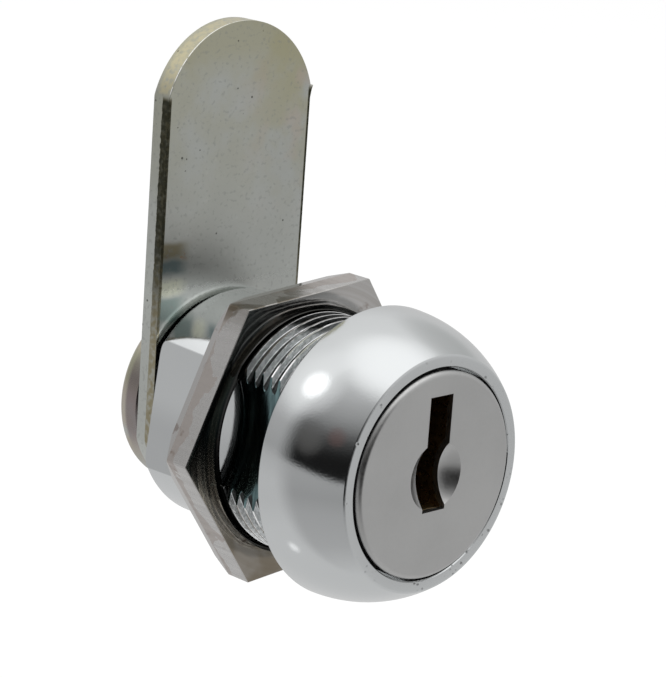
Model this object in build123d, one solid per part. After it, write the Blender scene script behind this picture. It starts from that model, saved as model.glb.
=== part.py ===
from build123d import *
import math
import os

# Cam lock for panels and cabinet doors: domed head, double-D barrel, fixing nut, wafer plug and cam.
# The axis of the lock is +Y from the face to the rear, +Z points to the tip of the cam, and the
# origin lies on the axis in the plane of the head's rear face, which seats on the panel.

# Head and barrel casting
head_radius = 11.5
head_depth = 6.9
head_edge_radius = 0.25
thread_radius = 9.525
thread_length = 10.9
tail_undercut = 0.2
barrel_length = 15.7
barrel_chamfer = 0.5
flat_distance = 8.15
flat_lean = 6.0
recess_depth = 2.9
bore_clearance = 0.03

# Plug
plug_radius = 6.6
flange_reach = 1.7
flange_gap = 0.2
collar_reach = 0.35
collar_height = 0.75
tail_square = 7.2
tail_corner = 0.8
tail_shortfall = 0.05
key_width = 2.4
key_bottom = -2.75
key_top = 6.25
keyway_roof = 0.9
dimple_radius = 2.7
dimple_depth = 1.15

# Face cap
cap_sheet = 0.5
cap_proud = 0.35
cap_edge_radius = 0.45
cap_lip = 0.4
sheet_gap = 0.02

# Wafers and their springs
wafer_count = 6
first_wafer = -1.6
retainer_spacing = 2.8
wafer_width = 5.0
wafer_thickness = 1.2
wafer_travel = 0.9
wafer_gap = 0.03
window_side_gap = 0.1
window_bottom = -4.2
key_cuts = (1.0, 2.0, 1.5, 2.5, 1.0, 2.0)
lug_reach = 1.5
lug_height = 1.2
spring_radius = 0.68
spring_wire = 0.26
spring_turns = 4
pocket_radius = 0.8
pocket_end = 4.2
channel_gap = 0.1
channel_play = 1.4

# Retaining wafer
retainer_setback = 3.5
retainer_travel = 0.7
groove_side_gap = 0.15
keyway_end_gap = 0.2

# Stop washer and cam
turn_range = 90.0
stop_radius = 7.6
stop_thickness = 0.8
stop_edge_radius = 0.25
tab_width = 2.6
tab_depth = 1.3
tab_inner_gap = 0.3
tab_outer_gap = 0.05
notch_floor_gap = 0.2
notch_end_gap = 0.05
square_gap = 0.03
cam_width = 15.0
cam_thickness = 1.8
cam_tip_bulge = 0.3
cam_tip_centre = 22.9
cam_heel_bulge = 0.4
cam_edge_break = 0.15

# Clamp washer, spring washer and screw
clamp_overhang = 0.1
clamp_height = 2.35
clamp_floor = 0.9
clamp_edge_radius = 0.7
screw_radius = 2.45
screw_gap = 0.05
screw_end_wall = 0.65
screw_end_gap = 0.4
screw_head_flats = 8.0
screw_head_height = 2.6
screw_head_chamfer = 0.3
washer_radius = 4.4
washer_thickness = 1.2
washer_split = 0.7
washer_room = 1.2

# Fixing nut
nut_flats = 22.2
nut_thickness = 2.8
nut_place = 6.45
nut_turn = 4.4
nut_thread_gap = 0.075
nut_front_bevel = 0.35
nut_rear_bevel = 0.8
nut_corner_drop = 0.6
nut_corner_slope = 30.0

# Sizes and places worked out from the values above
face_plane = -head_depth
recess_floor = face_plane + recess_depth
cap_front = face_plane - cap_proud
flange_front = cap_front + cap_sheet + sheet_gap
flange_rear = recess_floor - collar_height
recess_radius = plug_radius + flange_reach
collar_radius = plug_radius + collar_reach
cap_radius = recess_radius - flange_gap
flange_radius = cap_radius - cap_sheet - sheet_gap
bore_radius = plug_radius + bore_clearance
key_roof = plug_radius - keyway_roof
channel_radius = bore_radius + wafer_travel + channel_gap
retainer_place = barrel_length - retainer_setback
last_wafer = retainer_place - retainer_spacing
wafer_pitch = (last_wafer - first_wafer) / (wafer_count - 1)
cam_front = barrel_length + stop_thickness
cam_rear = cam_front + cam_thickness
clamp_seat = cam_rear + clamp_floor
head_seat = clamp_seat + washer_thickness
tail_end = cam_rear - tail_shortfall
keyway_end = retainer_place + wafer_thickness / 2 + keyway_end_gap
screw_hole_end = keyway_end + screw_end_wall
cam_tip_radius = cam_width / 2 + cam_tip_bulge
cam_heel_radius = cam_width / 2 + cam_heel_bulge
clamp_radius = cam_width / 2 + clamp_overhang
clamp_cup_radius = washer_radius + washer_room
tab_inner_radius = plug_radius + tab_inner_gap
tab_outer_radius = flat_distance - tab_outer_gap
wafer_half = wafer_width / 2
lug_centre = wafer_half + lug_reach - pocket_radius
overlap = 0.5
long_cut = 60.0

CENTRE = Align.CENTER
LOW = Align.MIN


def rod(radius, y_start, y_end):
    """A cylinder on the axis of the lock."""
    upright = Cylinder(radius, y_end - y_start, align=(CENTRE, CENTRE, LOW))
    return Pos(0, y_start, 0) * (Rot(-90, 0, 0) * upright)


def block(x_span, y_span, z_span):
    """A box between two values on each axis."""
    size = [end - start for start, end in (x_span, y_span, z_span)]
    return Pos(x_span[0], y_span[0], z_span[0]) * Box(*size, align=(LOW, LOW, LOW))


def turned(*outline):
    """A ring or disc turned about the axis from (radius, y) points."""
    return revolve(make_face(Polyline(*outline, close=True)), Axis.Y)


def prism(sketch, y_start, y_end):
    """A sketch drawn as (x, z), raised from y_start to y_end."""
    return Pos(0, y_end, 0) * extrude(Plane.XZ * sketch, amount=y_end - y_start)


def sector(inner, outer, from_angle, to_angle, y_start, y_end):
    """Part of a ring; angles run from +Z towards +X, the way that the key turns."""
    def at(radius, angle):
        turn = math.radians(angle)
        return (radius * math.sin(turn), radius * math.cos(turn))

    middle = (from_angle + to_angle) / 2
    outline = [
        Line(at(inner, from_angle), at(outer, from_angle)),
        ThreePointArc(at(outer, from_angle), at(outer, middle), at(outer, to_angle)),
        Line(at(outer, to_angle), at(inner, to_angle)),
        ThreePointArc(at(inner, to_angle), at(inner, middle), at(inner, from_angle)),
    ]
    return prism(make_face(outline), y_start, y_end)


def edges_at(solid, y, radius):
    """The round edges of a solid at one place on the axis and one radius."""
    def matches(edge):
        if edge.geom_type != GeomType.CIRCLE:
            return False
        on_axis = math.hypot(edge.arc_center.X, edge.arc_center.Z) < 0.01
        return on_axis and abs(edge.arc_center.Y - y) < 0.01 and abs(edge.radius - radius) < 0.01

    return solid.edges().filter_by(matches)


def dimple_ball(sheet):
    """The ball that hollows the face round the keyway, grown by a sheet thickness."""
    ball_radius = (dimple_radius ** 2 + dimple_depth ** 2) / (2 * dimple_depth)
    return Pos(0, cap_front + dimple_depth - ball_radius, 0) * Sphere(ball_radius + sheet)


def corner_angle(half_width, radius):
    """The angle, seen from the axis, of a corner half_width off a radius."""
    return math.degrees(math.asin(half_width / radius))


def make_lock_body():
    slab = block((-long_cut, long_cut), (face_plane, 0), (-long_cut, long_cut))
    head = Sphere(head_radius) & slab
    head = fillet(edges_at(head, 0, head_radius), head_edge_radius)
    barrel = rod(thread_radius, -overlap, thread_length)
    barrel += rod(thread_radius - tail_undercut, thread_length - overlap, barrel_length)
    barrel = chamfer(edges_at(barrel, barrel_length, thread_radius - tail_undercut), barrel_chamfer)
    flats = block((-flat_distance, flat_distance), (-head_depth, barrel_length), (-long_cut, long_cut))
    body = head + (barrel & flats)
    body -= rod(bore_radius, face_plane, barrel_length + overlap)
    body -= rod(recess_radius, face_plane - overlap, recess_floor)
    channel_half = corner_angle(wafer_half, plug_radius) + channel_play + flat_lean
    channel_start = first_wafer - wafer_thickness
    channel_end = last_wafer + wafer_thickness
    for middle in (0, 90, 180, 270):
        body -= sector(
            bore_radius - overlap,
            channel_radius,
            middle - channel_half,
            middle + channel_half,
            channel_start,
            channel_end,
        )
    groove_half = wafer_thickness / 2 + groove_side_gap
    groove_radius = plug_radius + retainer_travel + channel_gap
    body -= rod(groove_radius, retainer_place - groove_half, retainer_place + groove_half)
    body = Rot(0, flat_lean, 0) * body
    tab_half = corner_angle(tab_width / 2, tab_inner_radius)
    notch_start = 90 - tab_half - math.degrees(notch_end_gap / tab_inner_radius)
    notch_end = 90 + turn_range + tab_half + math.degrees(notch_end_gap / tab_inner_radius)
    notch_floor = barrel_length - tab_depth - notch_floor_gap
    notch = sector(
        bore_radius - overlap,
        thread_radius + overlap,
        notch_start,
        notch_end,
        notch_floor,
        barrel_length + overlap,
    )
    return body - notch


def make_plug():
    plug = rod(flange_radius, flange_front, flange_rear)
    plug += rod(collar_radius, flange_rear - overlap, recess_floor)
    plug += rod(plug_radius, recess_floor - overlap, barrel_length)
    tail = prism(RectangleRounded(tail_square, tail_square, tail_corner), barrel_length - overlap, tail_end)
    plug += tail
    plug -= dimple_ball(cap_sheet + sheet_gap)
    half_key = key_width / 2
    plug -= block((-half_key, half_key), (cap_front, recess_floor), (key_bottom, key_top))
    plug -= block((-half_key, half_key), (cap_front, keyway_end), (key_bottom, key_roof))
    for place in wafer_places() + [retainer_place]:
        plug -= wafer_slot(place)
    for place in wafer_places():
        plug -= spring_pocket(place, pocket_end)
    plug -= spring_pocket(retainer_place, -pocket_end)
    return plug - rod(screw_radius + screw_gap, screw_hole_end, tail_end + overlap)


def wafer_places():
    return [first_wafer + wafer_pitch * index for index in range(wafer_count)]


def slab_span(place, gap):
    half = wafer_thickness / 2 + gap
    return (place - half, place + half)


def wafer_slot(place):
    """The slot across the plug, with room for the lug at one side."""
    half = wafer_half + wafer_gap
    span = slab_span(place, wafer_gap)
    slot = block((-half, half), span, (-plug_radius - 1, plug_radius + 1))
    reach = wafer_half + lug_reach + wafer_gap
    lug_room = lug_height / 2 + wafer_travel + channel_gap
    return slot + block((0, reach), span, (-lug_room, lug_room))


def spring_pocket(place, end):
    """A round pocket beside the slot, from the lug to the end that carries the spring."""
    pocket = Cylinder(pocket_radius, abs(end), align=(CENTRE, CENTRE, LOW))
    return Pos(lug_centre, place, min(0, end)) * pocket


def wafer_plate(place, window_top):
    """A wafer at the shear line: rounded ends, window for the key and a lug for the spring."""
    span = slab_span(place, 0)
    plate = rod(plug_radius, *span) & block((-wafer_half, wafer_half), span, (-plug_radius, plug_radius))
    lug_half = lug_height / 2
    plate += block((0, wafer_half + lug_reach), span, (-lug_half, lug_half))
    half_window = key_width / 2 + window_side_gap
    return plate - block((-half_window, half_window), span, (window_bottom, window_top))


def make_retaining_wafer():
    """Stands out of the plug by its travel, into the groove of the barrel, and is cut short below."""
    plate = wafer_plate(retainer_place, key_roof)
    foot = plug_radius - retainer_travel - channel_gap
    span = slab_span(retainer_place, overlap)
    plate -= block((-wafer_half, wafer_half), span, (-plug_radius - 1, -foot))
    return Pos(0, 0, retainer_travel) * plate


def coil_spring(place, low, high):
    """A compression spring along Z between two heights, with its wire inside both."""
    mean_radius = spring_radius - spring_wire / 2
    height = high - low - spring_wire
    path = Helix(pitch=height / spring_turns, height=height, radius=mean_radius)
    wire = Plane(origin=path @ 0, z_dir=path % 0) * RegularPolygon(spring_wire / 2, 6)
    coil = sweep(wire, path=path, is_frenet=True)
    return Pos(lug_centre, place, low + spring_wire / 2) * coil


def make_face_cap():
    """A pressed cap: flat face with a rounded edge, a dimple and a lip turned in behind the flange."""
    lip_rear = flange_rear + sheet_gap + cap_lip
    cup = rod(cap_radius, cap_front, lip_rear)
    cup = fillet(edges_at(cup, cap_front, cap_radius), cap_edge_radius)
    cup -= rod(flange_radius + sheet_gap, cap_front + cap_sheet, flange_rear + sheet_gap)
    cup -= rod(collar_radius + flange_gap, flange_rear, lip_rear + overlap)
    bulge = dimple_ball(cap_sheet) & rod(cap_radius - cap_sheet, cap_front + cap_sheet / 2, flange_rear)
    cap = cup + bulge
    cap -= dimple_ball(0)
    half_key = key_width / 2
    return cap - block((-half_key, half_key), (cap_front - overlap, flange_rear), (key_bottom, key_top))


def make_stop_washer():
    washer = rod(stop_radius, barrel_length, cam_front)
    washer = fillet(edges_at(washer, cam_front, stop_radius), stop_edge_radius)
    washer -= square_hole(barrel_length - overlap, cam_front + overlap)
    half_tab = tab_width / 2
    tab = block(
        (tab_inner_radius, tab_outer_radius),
        (barrel_length - tab_depth, barrel_length + stop_thickness / 2),
        (-half_tab, half_tab),
    )
    return washer + tab


def square_hole(y_start, y_end):
    side = tail_square + 2 * square_gap
    return prism(RectangleRounded(side, side, tail_corner), y_start, y_end)


def make_cam():
    """A flat bar: rounded heel about the axis, straight sides and a rounded tip."""
    half = cam_width / 2
    heel_drop = math.sqrt(cam_heel_radius ** 2 - half ** 2)
    tip_rise = cam_tip_centre + math.sqrt(cam_tip_radius ** 2 - half ** 2)
    tip = cam_tip_centre + cam_tip_radius
    outline = [
        Line((-half, -heel_drop), (-half, tip_rise)),
        ThreePointArc((-half, tip_rise), (0, tip), (half, tip_rise)),
        Line((half, tip_rise), (half, -heel_drop)),
        ThreePointArc((half, -heel_drop), (0, -cam_heel_radius), (-half, -heel_drop)),
    ]
    cam = prism(make_face(outline), cam_front, cam_rear)
    cam = chamfer(cam.faces().sort_by(Axis.Y)[-1].outer_wire().edges(), cam_edge_break)
    return cam - square_hole(cam_front - overlap, cam_rear + overlap)


def make_clamp_washer():
    """A cupped washer: thick rounded rim, sunk floor that carries the spring washer."""
    cup_rear = cam_rear + clamp_height
    washer = rod(clamp_radius, cam_rear, cup_rear)
    washer = fillet(edges_at(washer, cup_rear, clamp_radius), clamp_edge_radius)
    washer -= rod(clamp_cup_radius, clamp_seat, cup_rear + overlap)
    return washer - rod(screw_radius + 2 * screw_gap, cam_rear - overlap, clamp_seat + overlap)


def make_spring_washer():
    washer = rod(washer_radius, clamp_seat, head_seat)
    washer -= rod(screw_radius + 2 * screw_gap, clamp_seat - overlap, head_seat + overlap)
    half = washer_split / 2
    cut = block((0, washer_radius + overlap), (clamp_seat, head_seat), (-half, half))
    return washer - cut


def make_cam_screw():
    screw = rod(screw_radius, screw_hole_end + screw_end_gap, head_seat + overlap)
    across_corners = screw_head_flats / math.cos(math.radians(30))
    head = prism(RegularPolygon(across_corners / 2, 6), head_seat, head_seat + screw_head_height)
    crown_radius = across_corners / 2
    crown_end = head_seat + screw_head_height
    crown = rod(crown_radius, head_seat, crown_end)
    crown = chamfer(edges_at(crown, crown_end, crown_radius), screw_head_chamfer)
    return screw + (head & crown)


def make_nut():
    """A thin hexagon nut: sharp front corners, rear corners turned off, bore bevelled at both faces."""
    nut_rear = nut_place + nut_thickness
    corner = nut_flats / 2 / math.cos(math.radians(30))
    slope = math.tan(math.radians(nut_corner_slope))
    hexagon = prism(RegularPolygon(corner, 6), nut_place, nut_rear)
    blank = turned(
        (0, nut_place),
        (corner + overlap, nut_place),
        (corner + overlap, nut_rear - nut_corner_drop - overlap * slope),
        (corner - nut_corner_drop / slope, nut_rear),
        (0, nut_rear),
    )
    bore = thread_radius + nut_thread_gap
    nut = (hexagon & blank) - rod(bore, nut_place - overlap, nut_rear + overlap)
    for place, bevel in ((nut_place, nut_front_bevel), (nut_rear, nut_rear_bevel)):
        nut = chamfer(edges_at(nut, place, bore), bevel)
    return Rot(0, -nut_turn, 0) * nut


def build_parts():
    parts = {
        "lock_body": make_lock_body(),
        "plug": make_plug(),
        "face_cap": make_face_cap(),
        "retaining_wafer": make_retaining_wafer(),
        "mounting_nut": make_nut(),
        "stop_washer": make_stop_washer(),
        "cam": make_cam(),
        "clamp_washer": make_clamp_washer(),
        "spring_washer": make_spring_washer(),
        "cam_screw": make_cam_screw(),
    }
    for number, (place, cut) in enumerate(zip(wafer_places(), key_cuts), start=1):
        parts[f"wafer_{number}"] = wafer_plate(place, key_roof - cut)
        parts[f"wafer_spring_{number}"] = coil_spring(place, lug_height / 2, pocket_end)
    lug_under = retainer_travel - lug_height / 2
    parts["retainer_spring"] = coil_spring(retainer_place, -pocket_end, lug_under)
    return parts


os.makedirs("parts", exist_ok=True)
for name, shape in build_parts().items():
    shape.label = name
    export_step(shape, f"parts/{name}.step")
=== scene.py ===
import math

import bpy
from mathutils import Matrix, Vector


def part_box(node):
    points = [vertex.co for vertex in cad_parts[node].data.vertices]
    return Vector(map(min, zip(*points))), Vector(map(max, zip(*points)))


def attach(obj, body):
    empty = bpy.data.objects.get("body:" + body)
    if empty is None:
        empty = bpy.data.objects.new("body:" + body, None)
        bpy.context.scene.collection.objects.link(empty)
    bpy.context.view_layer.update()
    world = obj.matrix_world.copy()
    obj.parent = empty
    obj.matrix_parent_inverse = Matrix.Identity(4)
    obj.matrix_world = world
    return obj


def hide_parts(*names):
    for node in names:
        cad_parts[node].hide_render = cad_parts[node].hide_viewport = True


bl_info = {
    "name": "Cam lock",
    "version": (1, 0, 0),
    "blender": (4, 5, 0),
    "location": "View3D > Sidebar > Cam lock",
    "description": "Models and finishes a cam lock round its packed frame",
    "category": "Add Mesh",
}

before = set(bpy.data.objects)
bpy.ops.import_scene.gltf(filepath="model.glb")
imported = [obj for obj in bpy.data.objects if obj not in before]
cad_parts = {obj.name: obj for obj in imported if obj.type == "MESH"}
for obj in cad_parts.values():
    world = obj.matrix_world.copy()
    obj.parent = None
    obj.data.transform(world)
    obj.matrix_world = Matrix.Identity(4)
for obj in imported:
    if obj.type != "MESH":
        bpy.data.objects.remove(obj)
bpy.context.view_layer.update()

MM = 0.001
FULL_TURN = 2 * math.pi
TINY = 1e-7
SEAM = 1e-6
SPARE_TURNS = 2
ROOT_STEPS = 8
SMOOTH_LIMIT = 28
BODY_SMOOTH_LIMIT = 24
BEVEL_LIMIT = 50

# How far a cutting shape reaches past the piece that it cuts
REACH = MM
SHORT_REACH = 0.5 * MM
LONG_REACH = 3 * MM

# Thickness and height of the blocks that cut the flats
FLAT_CUT = (4 * MM, 30 * MM)

# Broken edge of the front ring, as shares of its size: inwards and back, and where it ends
RIM_CORNER = (0.4, 0.25)
RIM_END = 1.2

# Angles in degrees
HEXAGON_STEP = 60
RIGHT_ANGLE = 90.0
STRAIGHT_ANGLE = 180.0
DEGREE = STRAIGHT_ANGLE / math.pi

# Steps of the turned shapes and of their rounded edges
DRUM_STEPS = 192
CASTING_STEPS = 224
THREAD_STEPS = 144
CHANNEL_STEPS = 16
DOME_STEPS = 40
BALL_STEPS = 24
ROUND_STEPS = 12
RIM_STEPS = 10
WASHER_STEPS = 8
SPLIT_STEPS = 128
EDGE_STEPS = 6
TIP_STEPS = 72
HEEL_STEPS = 48
NOTCH_STEPS = 48

# Camera that was fitted to the photograph, with its axes as unit vectors
CAMERA_PLACE = (-0.141043, -0.134968, 0.059541)
CAMERA_RIGHT = (0.7142979, -0.6964158, 0.0691623)
CAMERA_UP = (0.128583, 0.2277398, 0.9651948)
CAMERA_LENS = 144.08
SENSOR_WIDTH = 36
CLIP = (0.01, 10)

TENT_RADIUS = 1.5
STAGE_SEGMENTS = 96
STAGE_RINGS = 48
LAMP_DISTANCE = 1.2
FLOOR_RADIUS = 1.4
FLOOR_PLACE = (0, 0, -0.09)
FLOOR_GLOW = 0.92
FLOOR_TONE = (0.9, 0.9, 0.9, 1)
WORLD_TONE = (0.75, 0.75, 0.75, 1)
PURE_WHITE = (1, 1, 1, 1)

# Walls of the light tent: elevation in degrees and brightness
FRONT_WALL = (
    (-25, 0.012), (6, 0.014), (11, 0.022), (16, 0.05), (21, 0.09), (26, 0.17), (32, 0.30),
    (40, 0.44), (50, 0.56), (60, 0.72), (70, 0.98), (80, 1.25),
)
FRONT_FLOOR = ((-90, 0.76), (-60, 0.57), (-35, 0.52), (-22, 0.45), (-8, 0.50))
LEFT_WALL = (
    (-90, 0.76), (-45, 0.76), (-30, 0.70), (-16, 0.70), (-4, 0.62), (4, 0.48), (20, 0.55),
    (30, 0.80), (40, 1.05), (60, 1.15), (90, 1.30),
)
RIGHT_WALL = (
    (-90, 0.76), (-45, 0.74), (-15, 0.62), (0, 0.66), (20, 0.76), (40, 0.95), (60, 1.02), (80, 1.28),
)

# Horizon of the front wall in degrees, its blur, and where it drops: start, end and drop
HORIZON = -1.5
HORIZON_BLUR = 3.0
HORIZON_DROPS = ((-112.0, -60.0, 7.0), (-62.0, -46.0, 14.0))

# Azimuths in degrees over which one wall fades into the next
LEFT_TO_FRONT = (-120.0, -100.0)
FRONT_TO_RIGHT = (-8.0, 22.0)
RIGHT_TO_LEFT = (-178.0, -150.0)

# Round patches of the tent: azimuth, elevation, inner and outer radius in degrees, strength, tone
PATCHES = (
    (-72, 24, 0, 9, 0.45, (0.20, 0.11, 0.10)),
    (100, 30, 4, 26, 0.5, (0.42, 0.43, 0.42)),
    (-94, 18, 0, 15, 0.6, (0.17, 0.165, 0.16)),
    (-119, 50, 0, 26, 0.6, (1.25, 1.25, 1.25)),
    (-119, 50, 0, 12, 1.0, (2.2, 2.2, 2.2)),
    (30, 74, 0, 38, 1.0, (1.45, 1.45, 1.45)),
    (-135, -58, 0, 4, 1.0, (1.3, 1.3, 1.3)),
)

# Lamps: name, azimuth, elevation, size and power
LAMPS = (("left_lamp", -119, 50, 0.5, 6.0), ("top_lamp", 25, 76, 0.6, 8.0))

# Places and sizes that the frame gives
BODY_LOW, BODY_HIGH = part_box("lock_body")
CAP_LOW, CAP_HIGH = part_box("face_cap")
NUT_LOW, NUT_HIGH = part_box("mounting_nut")
STOP_LOW, STOP_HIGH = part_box("stop_washer")
CAM_LOW, CAM_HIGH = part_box("cam")
CLAMP_LOW, CLAMP_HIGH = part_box("clamp_washer")
SPRING_LOW, SPRING_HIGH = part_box("spring_washer")
SCREW_LOW, SCREW_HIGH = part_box("cam_screw")


def length(name, text, default):
    return bpy.props.FloatProperty(name=name, description=text, default=default, unit="LENGTH", precision=5)


def angle(name, text, degrees):
    return bpy.props.FloatProperty(
        name=name, description=text, default=math.radians(degrees), subtype="ANGLE"
    )


def amount(name, text, default):
    return bpy.props.FloatProperty(name=name, description=text, default=default)


def colour(name, text, default):
    return bpy.props.FloatVectorProperty(
        name=name, description=text, default=default, subtype="COLOR", min=0, max=1
    )


class CamLockHead(bpy.types.PropertyGroup):
    """Head and barrel casting."""
    dome_radius: length("Dome radius", "Ball that the head is part of", BODY_HIGH.z)
    edge_radius: length("Edge radius", "Rounding of the head's rear edge", 0.22 * MM)
    rim_edge: length("Rim edge", "Rounding where the dome meets the front ring", 0.12 * MM)
    recess_radius: length("Recess radius", "Opening that the face cap turns in", 8.3 * MM)
    recess_depth: length("Recess depth", "From the front ring to the recess floor", 2.9 * MM)
    recess_break: length("Recess break", "Broken edge of the recess", 0.08 * MM)
    bore_radius: length("Bore radius", "Bore that the plug turns in", 6.63 * MM)
    thread_radius: length("Thread radius", "Crests of the barrel's thread", 9.525 * MM)
    thread_pitch: length("Thread pitch", "From one crest to the next", 0.941 * MM)
    thread_depth: length("Thread depth", "From crest to root", 0.58 * MM)
    crest_share: amount("Crest share", "Part of the pitch that a crest takes", 0.14)
    root_fullness: amount("Root fullness", "Roundness of the roots: 1 is a half ellipse", 1.15)
    weld: length("Weld", "How deep the thread overlaps the core", 0.1 * MM)
    thread_start: length("Thread start", "Where the thread begins, inside the head", -0.2 * MM)
    thread_end: length("Thread end", "Where the thread stops, behind the head", 10.9 * MM)
    shank_radius: length("Shank radius", "Plain barrel behind the thread", 9.325 * MM)
    rim_round: length("Rim rounding", "Round rear edge of the barrel", 0.6 * MM)
    rim_height: length("Rim height", "How far that edge stands round the stop washer", 0.55 * MM)
    rim_inner: length("Rim inner radius", "Room for the stop washer inside the edge", 7.66 * MM)
    flat_distance: length("Flat distance", "From the axis to each flat, at the head", 8.09 * MM)
    flat_draft: angle("Flat draft", "How far the flats close in towards the rear", 1.1)
    flat_lean: angle("Flat lean", "How far the flats stand off the keyway", 6.7)
    channel_radius: length("Channel radius", "Channels that the wafers spring into", 7.63 * MM)
    channel_half: angle("Channel half angle", "Half the width of a channel", 29.66)
    channel_front: length("Channel front", "Front end of the channels", -2.8 * MM)
    channel_rear: length("Channel rear", "Rear end of the channels", 10.6 * MM)
    channel_overlap: length("Channel overlap", "How far their cuts reach into the bore", 0.4 * MM)
    groove_radius: length("Groove radius", "Groove of the retaining wafer", 7.4 * MM)
    groove_place: length("Groove place", "Middle of that groove", 12.2 * MM)
    groove_half: length("Groove half width", "Half the width of that groove", 0.75 * MM)
    notch_depth: length("Notch depth", "Stop notch at the barrel's rear", 1.5 * MM)
    notch_start: angle("Notch start", "Start of the notch, from +Z towards +X", 78.73)
    notch_sweep: angle("Notch sweep", "Width of the notch", 112.55)


class CamLockCap(bpy.types.PropertyGroup):
    """Pressed face cap."""
    sheet: length("Sheet", "Thickness of the pressed sheet", 0.5 * MM)
    edge_radius: length("Edge radius", "Rounding of the front edge", 0.45 * MM)
    inner_radius: length("Inner radius", "Room for the plug's flange", 7.6 * MM)
    lip_radius: length("Lip radius", "Lip turned in behind the flange", 7.15 * MM)
    lip: length("Lip thickness", "Thickness of that lip", 0.4 * MM)
    dimple_radius: length("Dimple radius", "Round hollow about the keyway", 2.7 * MM)
    dimple_depth: length("Dimple depth", "Depth of that hollow", 1.15 * MM)
    key_width: length("Key slot width", "Across the slot", 2.4 * MM)
    key_bottom: length("Key slot bottom", "Lower end of the slot", -2.75 * MM)
    key_top: length("Key slot top", "Upper end of the slot", 6.25 * MM)


class CamLockNut(bpy.types.PropertyGroup):
    """Hexagon fixing nut."""
    flats: length("Across flats", "Width of the hexagon", 22.2 * MM)
    turn: angle("Turn", "How far the nut stands off the upright", -4.4)
    bore_radius: length("Bore radius", "Drilled bore, which the thread's inner crests keep", 9.06 * MM)
    thread_play: length("Thread play", "Room between the two threads", 0.06 * MM)
    front_mouth: length("Front mouth", "Outer radius of the bevel at the front", 9.95 * MM)
    front_slope: angle("Front slope", "Slope of that bevel", 23.5)
    rear_mouth: length("Rear mouth", "Outer radius of the bevel at the rear", 10.3 * MM)
    rear_slope: angle("Rear slope", "Slope of that bevel", 45)
    corner_drop: length("Corner drop", "How far the rear corners are turned down", 0.6 * MM)
    edge_break: length("Edge break", "Worn edges of the hexagon", 0.08 * MM)
    corner_slope: angle("Corner slope", "Slope of those corners", 30)


class CamLockCam(bpy.types.PropertyGroup):
    """Cam and the pieces that clamp it."""
    tip_radius: length("Tip radius", "Rounding of the cam's tip", 7.8 * MM)
    tip_centre: length("Tip centre", "From the axis to the centre of the tip", 22.9 * MM)
    heel_radius: length("Heel radius", "Rounding of the cam's lower end", 7.9 * MM)
    edge_break: length("Edge break", "Worn edges of the stamping", 0.1 * MM)
    burr: length("Burr", "Nub left on one shoulder by the stamping", 0.26 * MM)
    burr_foot: length("Burr foot", "Where the nub starts, below the shoulder", 0.9 * MM)
    burr_waist: length("Burr waist", "Where the nub is half as wide", 0.25 * MM)
    burr_tip: length("Burr tip", "How far the nub stands above the shoulder", 0.1 * MM)
    square: length("Square hole", "Width of the holes on the plug's tail", 7.26 * MM)
    square_corner: length("Square corner", "Rounding of those holes", 0.8 * MM)
    stop_edge: length("Stop washer edge", "Rounding of the stop washer", 0.3 * MM)
    washer_break: length("Washer break", "Broken edges of the flat washers", 0.1 * MM)
    tab_inner: length("Stop tab inner side", "From the axis to the inner side of the stop tab", 6.9 * MM)
    tab_half: length("Stop tab half width", "Half the width of the stop tab", 1.3 * MM)
    clamp_edge: length("Clamp washer edge", "Rounding of the clamp washer", 0.7 * MM)
    clamp_wall: length("Clamp washer wall", "Width of the clamp washer's rim", 2.0 * MM)
    clamp_floor: length("Clamp washer floor", "Thickness under the screw", 0.9 * MM)
    clamp_break: length("Clamp washer break", "Broken edge beside the cam", 0.15 * MM)
    clamp_mouth: length("Clamp washer mouth", "Bevel inside the rim", 0.3 * MM)
    screw_hole: length("Screw hole", "Radius of the hole for the screw", 2.55 * MM)
    split_gap: length("Split", "Gap of the spring washer", 0.7 * MM)
    split_slant: angle("Split slant", "Slant of that gap", 20)
    shank_play: length("Screw play", "Room round the screw in its hole", 0.1 * MM)
    shank_tip: length("Screw tip", "Bevel at the end of the screw", 0.3 * MM)
    crown_drop: length("Crown drop", "Depth of the bevel on the screw's corners", 0.35 * MM)
    crown_run: length("Crown run", "Width of that bevel", 0.75 * MM)


class CamLockFinish(bpy.types.PropertyGroup):
    """Colours of the finishes."""
    chrome: colour("Bright chrome", "Head and barrel", (0.60, 0.615, 0.62))
    cap: colour("Satin cap", "Face cap", (0.50, 0.50, 0.495))
    nut: colour("Plated steel", "Fixing nut", (0.52, 0.51, 0.50))
    nut_stain: colour("Stain", "Brown stains of the nut", (0.39, 0.34, 0.31))
    zinc: colour("Zinc plate", "Cam and washers", (0.475, 0.49, 0.465))
    zinc_yellow: colour("Yellow bloom", "Passivate bloom of the zinc", (0.43, 0.41, 0.27))
    zinc_pink: colour("Pink bloom", "Passivate bloom of the zinc", (0.50, 0.43, 0.37))
    brass: colour("Brass", "Plug and wafers", (0.50, 0.37, 0.20))
    wire: colour("Spring wire", "Springs", (0.42, 0.42, 0.43))


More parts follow.
